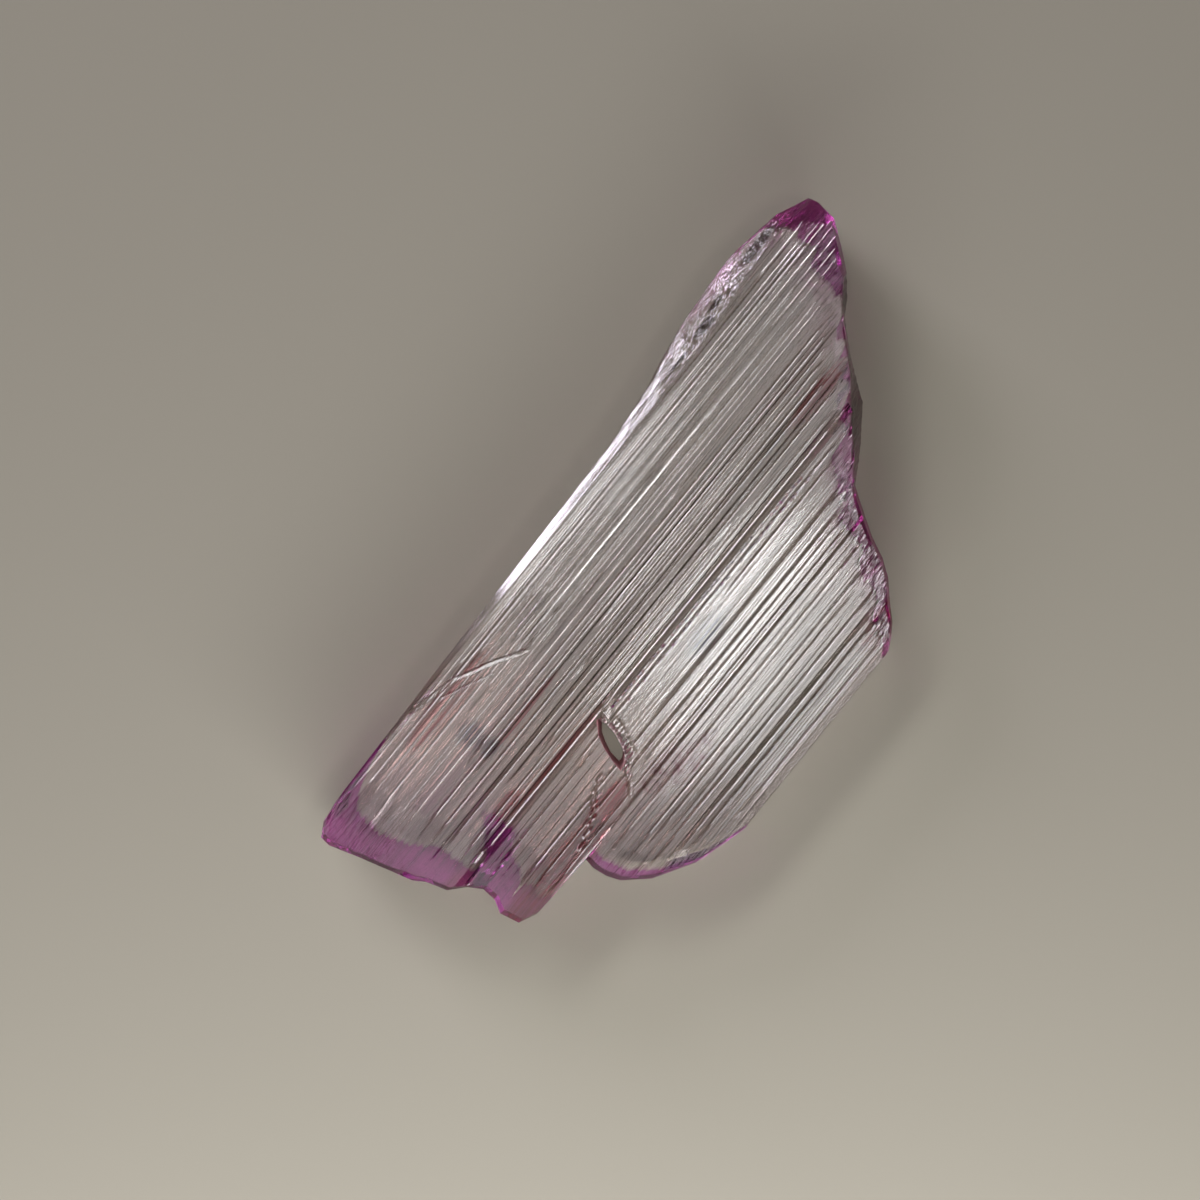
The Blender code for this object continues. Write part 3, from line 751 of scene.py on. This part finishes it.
def blade_mesh():
    """The fine front and back sheets over one grid, closed by a wall round their edge."""
    knots = ridge_knots(random.Random(SEED))
    x, y, lower, upper = grid_places()
    front = front_height(x, y, knots, lower, upper)
    back = np.minimum(back_height(x, y, knots, lower, upper), front - LEAST_THICKNESS)
    points = [np.stack([x, y, z], axis=-1).reshape(-1, 3) for z in (front, back)]
    index = np.arange(x.size).reshape(x.shape)
    ring = edge_ring(index)
    levels = np.linspace(0.0, 1.0, WALL_LEVELS)[1:-1, None, None]
    points.append((points[0][ring] + levels * (points[1][ring] - points[0][ring])).reshape(-1, 3))
    between = 2 * x.size + np.arange((WALL_LEVELS - 2) * ring.size).reshape(WALL_LEVELS - 2, ring.size)
    rings = np.concatenate([ring[None], between, ring[None] + x.size])
    wall = strip_faces(np.concatenate([rings, rings[:, :1]], axis=1), outward=False)
    faces = strip_faces(index).tolist() + thinned_faces(index + x.size) + wall.tolist()
    mesh = bpy.data.meshes.new(NODE)
    mesh.from_pydata((np.concatenate(points) * MM).tolist(), [], faces)
    mesh.update()
    on_wall = y.ravel()[ring] + WALL_GIRTH * levels[:, :, 0]
    girth = np.concatenate([y.ravel(), -y.ravel() - BACK_GIRTH, on_wall.ravel()])
    mesh.attributes.new(GIRTH, "FLOAT", "POINT").data.foreach_set("value", girth * MM)
    for name, (on_front, on_back) in finish_shares(x, y, lower, upper).items():
        on_front, on_back = on_front.ravel(), on_back.ravel()
        values = np.concatenate([on_front, on_back, np.tile(on_front[ring], WALL_LEVELS - 2)])
        mesh.attributes.new(name, "FLOAT", "POINT").data.foreach_set("value", values)
    drop_unused_points(mesh)
    return mesh


def drop_unused_points(mesh):
    shape = bmesh.new()
    shape.from_mesh(mesh)
    bmesh.ops.delete(shape, geom=[vert for vert in shape.verts if not vert.link_faces], context="VERTS")
    shape.to_mesh(mesh)
    shape.free()


def patches(x, y, firmness, places):
    return np.clip(firmness * np.max([patch(x, y, *place) for place in places], axis=0), 0.0, 1.0)


def finish_shares(x, y, lower, upper):
    """How much of each finish every grid point takes, on the front and on the back.

    The bands and the bulge are given as the distance inside their border, so that the shader can draw it
    sharply.
    """
    low_band = column(LOWER_BAND, y, 1) - (x - lower)
    high_band = column(UPPER_BAND, y, 1) - (upper - x)
    band = np.maximum.reduce([low_band, high_band, field(x, y, NOTCH_FIELD)])
    lip = column(UPPER_END, y, FRONT_LIP[0]) - (upper - x)
    bulge = np.minimum.reduce([lip, y - BULGE_FROM, BULGE_TO - y])
    dull = DULL_SHARE * np.clip((low_band - DULL_FROM) / DULL_OVER, 0.0, 1.0)
    fading = FAINT_ROSE * np.clip((ROSE_TO - x) / (ROSE_TO - ROSE_FROM), 0.0, 1.0)
    maroon = column(MAROON_ROWS, y, 1) * np.interp(x, (MAROON_FROM, MAROON_TO), (0.0, 1.0))
    shares = {name: patches(x, y, firmness, places) for name, (firmness, places) in PATCHES.items()}
    for name, other in ((PAINTED_SHADE, painted_groove_shade(x, y)), (DEEP, dull), (ROSE, fading), (MAROON, maroon)):
        shares[name] = np.maximum(shares[name], other)
    shares[ETCHED] = np.maximum.reduce([
        LOWER_ETCHED * (low_band > 0.0), UPPER_ETCHED * (high_band > 0.0), BULGE_ETCHED * (bulge > 0.0),
        column(BEVEL_ETCHED, x, 1) * (y > column(BEVEL_EDGE, x, 1)), frosting(x, y),
    ])
    found = {name: (share, np.zeros_like(x)) for name, share in shares.items()}
    for name, inside in ((BAND, band), (BULGE, bulge)):
        found[name] = (np.clip(inside, -BORDER_REACH, BORDER_REACH), np.full_like(x, -BORDER_REACH))
    return found


def gap_cutter(material):
    """The space of the crack, a little wider at its mouth than at its foot."""
    cutter = bmesh.new()
    foot, mouth = [[cutter.verts.new((x * MM, y * MM, z * MM)) for x, y in outline]
                   for outline, z in zip((GAP_FOOT, GAP_MOUTH), GAP_LEVELS)]
    for i in range(len(foot)):
        j = (i + 1) % len(foot)
        cutter.faces.new((foot[i], foot[j], mouth[j], mouth[i]))
    cutter.faces.new(foot[::-1])
    cutter.faces.new(mouth)
    mesh = bpy.data.meshes.new("gap_cutter")
    cutter.to_mesh(mesh)
    cutter.free()
    mesh.materials.append(material)
    return new_object("gap_cutter", mesh)


def open_tree(name, sizes, counts):
    """A new Geometry Nodes tree with these inputs, and the sockets that give them."""
    tree = bpy.data.node_groups.new(name, "GeometryNodeTree")
    face = tree.interface
    face.new_socket("Geometry", in_out="INPUT", socket_type="NodeSocketGeometry")
    for kind, labels in (("NodeSocketFloat", sizes), ("NodeSocketInt", counts)):
        for label in labels:
            face.new_socket(label, in_out="INPUT", socket_type=kind)
    face.new_socket("Geometry", in_out="OUTPUT", socket_type="NodeSocketGeometry")
    return tree, add(tree, "NodeGroupInput").outputs


def striation_tree(material):
    """Pushes the skin in and out in long fine lines along X, and in grains where it is etched."""
    inputs = ("Pitch", "Run", "Depth", "Grain", "Stretch", "Etch Depth")
    tree, given = open_tree("growth_striations", inputs, ("Seed",))
    place = add(tree, "GeometryNodeInputPosition").outputs["Position"]
    split = add(tree, "ShaderNodeSeparateXYZ", Vector=place).outputs
    girth = add(tree, "GeometryNodeInputNamedAttribute", {"data_type": "FLOAT"}, Name=GIRTH).outputs[0]
    run = add(tree, "ShaderNodeMath", {"operation": "DIVIDE"}, _0=split["X"], _1=given["Run"]).outputs[0]
    across = add(tree, "ShaderNodeMath", {"operation": "DIVIDE"}, _0=girth, _1=given["Pitch"]).outputs[0]
    lines = add(tree, "ShaderNodeCombineXYZ", X=run, Y=across, Z=given["Seed"]).outputs[0]
    noise = add(tree, "ShaderNodeTexNoise", {"noise_dimensions": "3D"}, Vector=lines,
                Scale=1.0, Detail=1.0, Roughness=0.6).outputs[0]
    centred = add(tree, "ShaderNodeMath", {"operation": "SUBTRACT"}, _0=noise, _1=NOISE_MIDDLE).outputs[0]
    height = add(tree, "ShaderNodeMath", {"operation": "MULTIPLY"}, _0=centred, _1=given["Depth"]).outputs[0]
    striae = add(tree, "ShaderNodeMath", {"operation": "MULTIPLY"}, _0=height, _1=STRIATION_GAIN).outputs[0]
    grains = add(tree, "ShaderNodeMath", {"operation": "DIVIDE"}, _0=1.0, _1=given["Grain"]).outputs[0]
    stretched = add(tree, "ShaderNodeMath", {"operation": "DIVIDE"}, _0=split["X"],
                    _1=given["Stretch"]).outputs[0]
    drawn_out = add(tree, "ShaderNodeCombineXYZ", X=stretched, Y=split["Y"], Z=split["Z"]).outputs[0]
    grain = add(tree, "ShaderNodeTexNoise", {"noise_dimensions": "3D"}, Vector=drawn_out, Scale=grains,
                Detail=2.0, Roughness=0.55).outputs[0]
    pitted = add(tree, "ShaderNodeMath", {"operation": "SUBTRACT"}, _0=grain, _1=NOISE_MIDDLE).outputs[0]
    pitted = add(tree, "ShaderNodeMath", {"operation": "MULTIPLY"}, _0=pitted,
                 _1=given["Etch Depth"]).outputs[0]
    etched = add(tree, "GeometryNodeInputNamedAttribute", {"data_type": "FLOAT"}, Name=ETCHED).outputs[0]
    total = add(tree, "ShaderNodeMath", {"operation": "MULTIPLY_ADD"}, _0=pitted, _1=etched,
                _2=striae).outputs[0]
    normal = add(tree, "GeometryNodeInputNormal").outputs[0]
    offset = add(tree, "ShaderNodeVectorMath", {"operation": "SCALE"}, _0=normal, Scale=total).outputs[0]
    moved = add(tree, "GeometryNodeSetPosition", Geometry=given["Geometry"], Offset=offset).outputs[0]
    real = add(tree, "GeometryNodeRealizeInstances", Geometry=moved).outputs[0]
    dressed = add(tree, "GeometryNodeSetMaterial", Geometry=real, Material=material).outputs[0]
    add(tree, "NodeGroupOutput", Geometry=dressed)
    return tree


def veil_tree(material):
    """Small four-sided pits on a jittered lattice with some of its places left empty."""
    inputs = ("Length", "Height", "Pit Size", "Pit Depth", "Missing")
    tree, given = open_tree("healed_veil", inputs, ("Columns", "Rows", "Seed"))
    lattice = add(tree, "GeometryNodeMeshGrid", Size_X=given["Length"], Size_Y=given["Height"],
                  Vertices_X=given["Columns"], Vertices_Y=given["Rows"]).outputs["Mesh"]
    left_out = add(tree, "FunctionNodeRandomValue", {"data_type": "BOOLEAN"},
                   Probability=given["Missing"], Seed=given["Seed"]).outputs[3]
    kept = add(tree, "GeometryNodeDeleteGeometry", {"domain": "POINT"}, Geometry=lattice,
               Selection=left_out).outputs[0]
    jitter = add(tree, "FunctionNodeRandomValue", {"data_type": "FLOAT_VECTOR"}, _0=-PIT_JITTER,
                 _1=PIT_JITTER, Seed=given["Seed"]).outputs[0]
    jitter = add(tree, "ShaderNodeVectorMath", {"operation": "SCALE"}, _0=jitter,
                 Scale=given["Pit Size"]).outputs[0]
    strewn = add(tree, "GeometryNodeSetPosition", Geometry=kept, Offset=jitter).outputs[0]
    pit = add(tree, "GeometryNodeMeshCone", {"fill_type": "NGON"}, Vertices=4, Radius_Top=PIT_FLOOR * MM,
              Radius_Bottom=given["Pit Size"], Depth=given["Pit Depth"]).outputs["Mesh"]
    size = add(tree, "FunctionNodeRandomValue", {"data_type": "FLOAT_VECTOR"}, _0=SMALLEST_PIT,
               _1=LARGEST_PIT, Seed=given["Seed"]).outputs[0]
    pit = add(tree, "GeometryNodeTransform", Geometry=pit, Rotation=(0.0, 0.0, math.pi / 4.0)).outputs[0]
    pits = add(tree, "GeometryNodeInstanceOnPoints", Points=strewn, Instance=pit, Scale=size).outputs[0]
    real = add(tree, "GeometryNodeRealizeInstances", Geometry=pits).outputs[0]
    dressed = add(tree, "GeometryNodeSetMaterial", Geometry=real, Material=material).outputs[0]
    add(tree, "NodeGroupOutput", Geometry=dressed)
    return tree


def veil_cutter(material):
    """The pits of the healed veil, turned over so that they go down from the front along their line."""
    cutter = new_object("veil_cutter", bpy.data.meshes.new("veil_cutter"))
    sizes = {name: size * MM for name, size in VEIL_SIZES.items()}
    through_nodes(cutter, veil_tree(material), {**sizes, **VEIL_COUNTS, "Seed": SEED})
    middle = 0.5 * (Vector(VEIL_START) + Vector(VEIL_END))
    low, high = VEIL_FACE
    slope = math.atan2(high[1] - low[1], high[0] - low[0])
    turn = math.atan2(VEIL_END[1] - VEIL_START[1], VEIL_END[0] - VEIL_START[0])
    height = column(FRONT_FACES, middle.y, 1) + PIT_LIFT
    cutter.location = Vector((middle.x, middle.y, height)) * MM
    cutter.rotation_euler = (math.pi + slope, 0.0, turn)
    bpy.context.view_layer.update()
    return cutter


def mark_pits(obj):
    """Paints shade on some floors of the veil's pits, and a rose tint on the others."""
    mesh = obj.data
    places = np.zeros(3 * len(mesh.vertices))
    mesh.vertices.foreach_get("co", places)
    x, y, z = places.reshape(-1, 3).T / MM
    sunk = column(FRONT_FACES, y, 1) - z
    floor = (sunk > FLOOR_FROM) & (sunk < FLOOR_TO) & (abs(y - VEIL_MIDDLE) < VEIL_HALF_WIDTH)
    floor &= (x > VEIL_START[0]) & (x < VEIL_END[0])
    dark = floor & (x > PIT_SHADE_FROM) & (x < PIT_SHADE_TO)
    for name, marked in ((PAINTED_SHADE, PIT_SHADE * dark), (ROSE, ROSE_PIT * (floor & ~dark))):
        values = np.zeros(len(mesh.vertices))
        mesh.attributes[name].data.foreach_get("value", values)
        mesh.attributes[name].data.foreach_set("value", np.maximum(values, marked))


def through_nodes(obj, tree, values):
    """Runs a Geometry Nodes tree on an object and keeps the result as its plain mesh."""
    modifier = obj.modifiers.new(tree.name, "NODES")
    modifier.node_group = tree
    for item in tree.interface.items_tree:
        if item.item_type == "SOCKET" and item.in_out == "INPUT" and item.name in values:
            modifier[item.identifier] = values[item.name]
    keep_evaluated(obj)


def keep_evaluated(obj):
    depsgraph = bpy.context.evaluated_depsgraph_get()
    mesh = bpy.data.meshes.new_from_object(obj.evaluated_get(depsgraph))
    obj.modifiers.clear()
    obj.data = mesh


def cut_away(obj, cutter):
    cut = obj.modifiers.new(cutter.name, "BOOLEAN")
    cut.operation = "DIFFERENCE"
    cut.solver = "EXACT"
    cut.material_mode = "TRANSFER"
    cut.object = cutter
    keep_evaluated(obj)
    bpy.data.objects.remove(cutter)


# ---- Finishes ----

def kunzite_spodumene():
    """Gem spodumene with natural, glassy growth faces, and etched at the rims and along the left bevel.

    It is clear and nearly colourless through the thin way, and violet where the eye looks along it. Shade is
    painted into its tint at the grooves, fine lines, pits and bevel patches.
    """
    material = bpy.data.materials.new("kunzite_glassy_growth_faces")
    material.use_nodes = True
    tree = material.node_tree
    tree.nodes.clear()
    place = add(tree, "ShaderNodeTexCoord").outputs["Object"]
    cloud = add(tree, "ShaderNodeTexNoise", Vector=place, Scale=1.0 / (CLOUD_SIZE * MM),
                Detail=3.0).outputs[0]
    blotches = add(tree, "ShaderNodeMapRange", _0=cloud, _1=CLOUD_FROM, _2=CLOUD_TO).outputs[0]
    drawn_out = add(tree, "ShaderNodeVectorMath", {"operation": "MULTIPLY"}, _0=place,
                    _1=(LAYER_SHRINK, 1.0, 1.0)).outputs[0]
    layers = add(tree, "ShaderNodeTexNoise", Vector=drawn_out, Scale=1.0 / (LAYER_THICKNESS * MM),
                 Detail=2.0).outputs[0]
    streaks = add(tree, "ShaderNodeMapRange", _0=layers, _1=STREAK_FROM, _2=STREAK_TO,
                  _3=PALEST_STREAK).outputs[0]
    ragged = add(tree, "ShaderNodeMapRange", _0=layers, _3=-BAND_TEETH, _4=BAND_TEETH).outputs[0]
    fine_place = add(tree, "ShaderNodeVectorMath", {"operation": "MULTIPLY"}, _0=place,
                     _1=(FINEST_SHRINK, 1.0, 1.0)).outputs[0]
    fine = add(tree, "ShaderNodeTexNoise", Vector=fine_place, Scale=1.0 / (FINEST_PITCH * MM), Detail=2.0,
               Roughness=0.6).outputs[0]
    fine_shade = add(tree, "ShaderNodeMapRange", _0=fine, _1=FINEST_FROM, _2=FINEST_TO,
                    _4=FINEST_SHADE).outputs[0]
    hatch = add(tree, "ShaderNodeAttribute", {"attribute_name": SHADE_HATCH}).outputs["Fac"]
    crowded_shade = add(tree, "ShaderNodeMapRange", _0=layers, _1=CROWDED_FROM, _2=CROWDED_TO,
                  _4=CROWDED_SHADE).outputs[0]
    crowded_shade = add(tree, "ShaderNodeMath", {"operation": "MULTIPLY"}, _0=crowded_shade, _1=hatch).outputs[0]
    maroon = add(tree, "ShaderNodeAttribute", {"attribute_name": MAROON}).outputs["Fac"]
    rim = add(tree, "ShaderNodeMix", {"data_type": "RGBA"}, _0=maroon, _6=linear(TINTS[BAND]),
              _7=linear(MAROON_TINT)).outputs[2]
    patterns = {PINK: blotches, SMUDGE: streaks, ROSE: streaks, DEEP: blotches}
    tint = linear(CLEAR_TINT)
    for name, code in TINTS.items():
        share = add(tree, "ShaderNodeAttribute", {"attribute_name": name}).outputs["Fac"]
        # The painted shade takes in the shade painted on the finest lines and on the crowded layers.
        if name == PAINTED_SHADE:
            share = add(tree, "ShaderNodeMath", {"operation": "MAXIMUM"}, _0=share, _1=fine_shade).outputs[0]
            share = add(tree, "ShaderNodeMath", {"operation": "MAXIMUM"}, _0=share, _1=crowded_shade).outputs[0]
        if name == BAND:
            share = add(tree, "ShaderNodeMath", {"operation": "ADD"}, _0=share, _1=ragged).outputs[0]
        if name in (BAND, BULGE):
            share = add(tree, "ShaderNodeMapRange", _0=share, _1=-BAND_BLUR, _2=BAND_BLUR).outputs[0]
        share = add(tree, "ShaderNodeMath", {"operation": "MULTIPLY"}, _0=share,
                    _1=patterns.get(name, 1.0)).outputs[0]
        tint = add(tree, "ShaderNodeMix", {"data_type": "RGBA", "blend_type": "MULTIPLY"}, _0=share,
                   _6=tint, _7=rim if name == BAND else linear(code)).outputs[2]
    etched = add(tree, "ShaderNodeAttribute", {"attribute_name": ETCHED}).outputs["Fac"]
    roughness = add(tree, "ShaderNodeMapRange", _0=etched, _3=GLASSY_ROUGHNESS,
                    _4=ETCHED_ROUGHNESS).outputs[0]
    bump = add(tree, "ShaderNodeBump", Strength=1.0, Distance=FINEST_DEPTH * MM, Height=fine).outputs[0]
    shader = add(tree, "ShaderNodeBsdfPrincipled", Base_Color=tint, IOR=KUNZITE_IOR, Roughness=roughness,
                 Transmission_Weight=1.0, Normal=bump)
    volume = add(tree, "ShaderNodeVolumeAbsorption", Color=linear(ABSORPTION_TINT),
                 Density=ABSORPTION_PER_METRE)
    add(tree, "ShaderNodeOutputMaterial", Surface=shader.outputs[0], Volume=volume.outputs[0])
    return material


def stained_fracture():
    """The walls of the crack, stained by iron from rose to pale pink and matt with dust."""
    material = bpy.data.materials.new("iron_stained_fracture_wall_matt")
    material.use_nodes = True
    tree = material.node_tree
    shader = tree.nodes["Principled BSDF"]
    place = add(tree, "ShaderNodeTexCoord").outputs["Object"]
    stain = add(tree, "ShaderNodeTexNoise", Vector=place, Scale=1.0 / (STAIN_SIZE * MM),
                Detail=3.0).outputs[0]
    colour = add(tree, "ShaderNodeMix", {"data_type": "RGBA"}, _0=stain, _6=linear(STAIN_COLOUR),
                 _7=linear(STAIN_PALE)).outputs[2]
    tree.links.new(colour, shader.inputs["Base Color"])
    shader.inputs["Roughness"].default_value = STAIN_ROUGHNESS
    shader.inputs["Specular IOR Level"].default_value = STAIN_SPECULAR
    return material


def painted_board():
    """A board painted a warm grey, so matt that it shows soft shadows and no highlight."""
    material = bpy.data.materials.new("painted_board_matt")
    material.use_nodes = True
    shader = material.node_tree.nodes["Principled BSDF"]
    shader.inputs["Base Color"].default_value = linear(FLOOR_COLOUR)
    shader.inputs["Roughness"].default_value = FLOOR_ROUGHNESS
    return material


# ---- Studio ----

def make_camera():
    """Looks straight down, turned so that the striations run at their angle."""
    data = bpy.data.cameras.new("camera")
    data.lens = LENS_MM
    data.sensor_width = SENSOR_MM
    data.clip_start = CLIP_START
    camera = new_object("camera", data)
    aside = (CRYSTAL_PIXEL[0] - VIEW_PIXELS / 2) / PIXELS_PER_MM
    down = (CRYSTAL_PIXEL[1] - VIEW_PIXELS / 2) / PIXELS_PER_MM
    distance = VIEW_PIXELS / PIXELS_PER_MM * LENS_MM / SENSOR_MM
    centre = (-aside * VIEW_RIGHT + down * VIEW_UP) * MM
    camera.location = centre + Vector((0.0, 0.0, (SCALE_HEIGHT + distance) * MM))
    camera.rotation_euler = (0.0, 0.0, -STRIATION_ANGLE)
    bpy.context.scene.camera = camera


def area_light(name, place, target, size, power, colour=WHITE, shape="RECTANGLE"):
    data = bpy.data.lights.new(name, "AREA")
    data.shape = shape
    data.size, data.size_y = size
    data.energy = power
    data.color = linear(colour)[:3]
    light = new_object(name, data)
    light.location = place
    light.rotation_euler = (Vector(target) - Vector(place)).to_track_quat("-Z", "Y").to_euler()


def gap_lamp():
    """A narrow lamp above the camera that shines down the crack to the floor below it."""
    foot = Vector(GAP_MIDDLE) * MM
    data = bpy.data.lights.new("gap_lamp", "SPOT")
    data.energy = GAP_LAMP_POWER
    data.spot_size = GAP_LAMP_BEAM
    data.spot_blend = GAP_LAMP_BLUR
    data.shadow_soft_size = GAP_LAMP_RADIUS
    lamp = new_object("gap_lamp", data)
    lamp.location = foot + GAP_LAMP_REACH * (bpy.context.scene.camera.location - foot)
    lamp.rotation_euler = (foot - lamp.location).to_track_quat("-Z", "Y").to_euler()


def make_lights():
    for softbox in SOFTBOXES:
        area_light(*softbox)
    gap_lamp()


def make_world():
    world = bpy.data.worlds.new("studio")
    bpy.context.scene.world = world
    world.use_nodes = True
    back = world.node_tree.nodes["Background"]
    back.inputs["Color"].default_value = linear(WORLD_COLOUR)
    back.inputs["Strength"].default_value = WORLD_STRENGTH


def make_floor():
    mesh = bpy.data.meshes.new("floor")
    half = FLOOR_HALF_SIZE
    mesh.from_pydata([(-half, -half, 0), (half, -half, 0), (half, half, 0), (-half, half, 0)], [],
                     [(0, 1, 2, 3)])
    mesh.materials.append(painted_board())
    floor = new_object("floor", mesh)


def make_crystal():
    material = kunzite_spodumene()
    crystal = new_object("kunzite_blade", blade_mesh())
    through_nodes(crystal, striation_tree(material), {
        "Pitch": STRIATION_PITCH * MM, "Run": STRIATION_RUN * MM, "Depth": STRIATION_DEPTH * MM,
        "Grain": ETCH_GRAIN * MM, "Stretch": ETCH_STRETCH, "Etch Depth": ETCH_DEPTH * MM, "Seed": SEED,
    })
    cut_away(crystal, gap_cutter(stained_fracture()))
    cut_away(crystal, veil_cutter(material))
    mark_pits(crystal)
    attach(crystal, "root")
    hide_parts(NODE)


make_crystal()
make_floor()
make_camera()
make_lights()
make_world()
scene = bpy.context.scene
scene.view_settings.view_transform = "Standard"
scene.cycles.max_bounces = MOST_BOUNCES
scene.cycles.transmission_bounces = MOST_BOUNCES
scene.cycles.glossy_bounces = MIRROR_BOUNCES
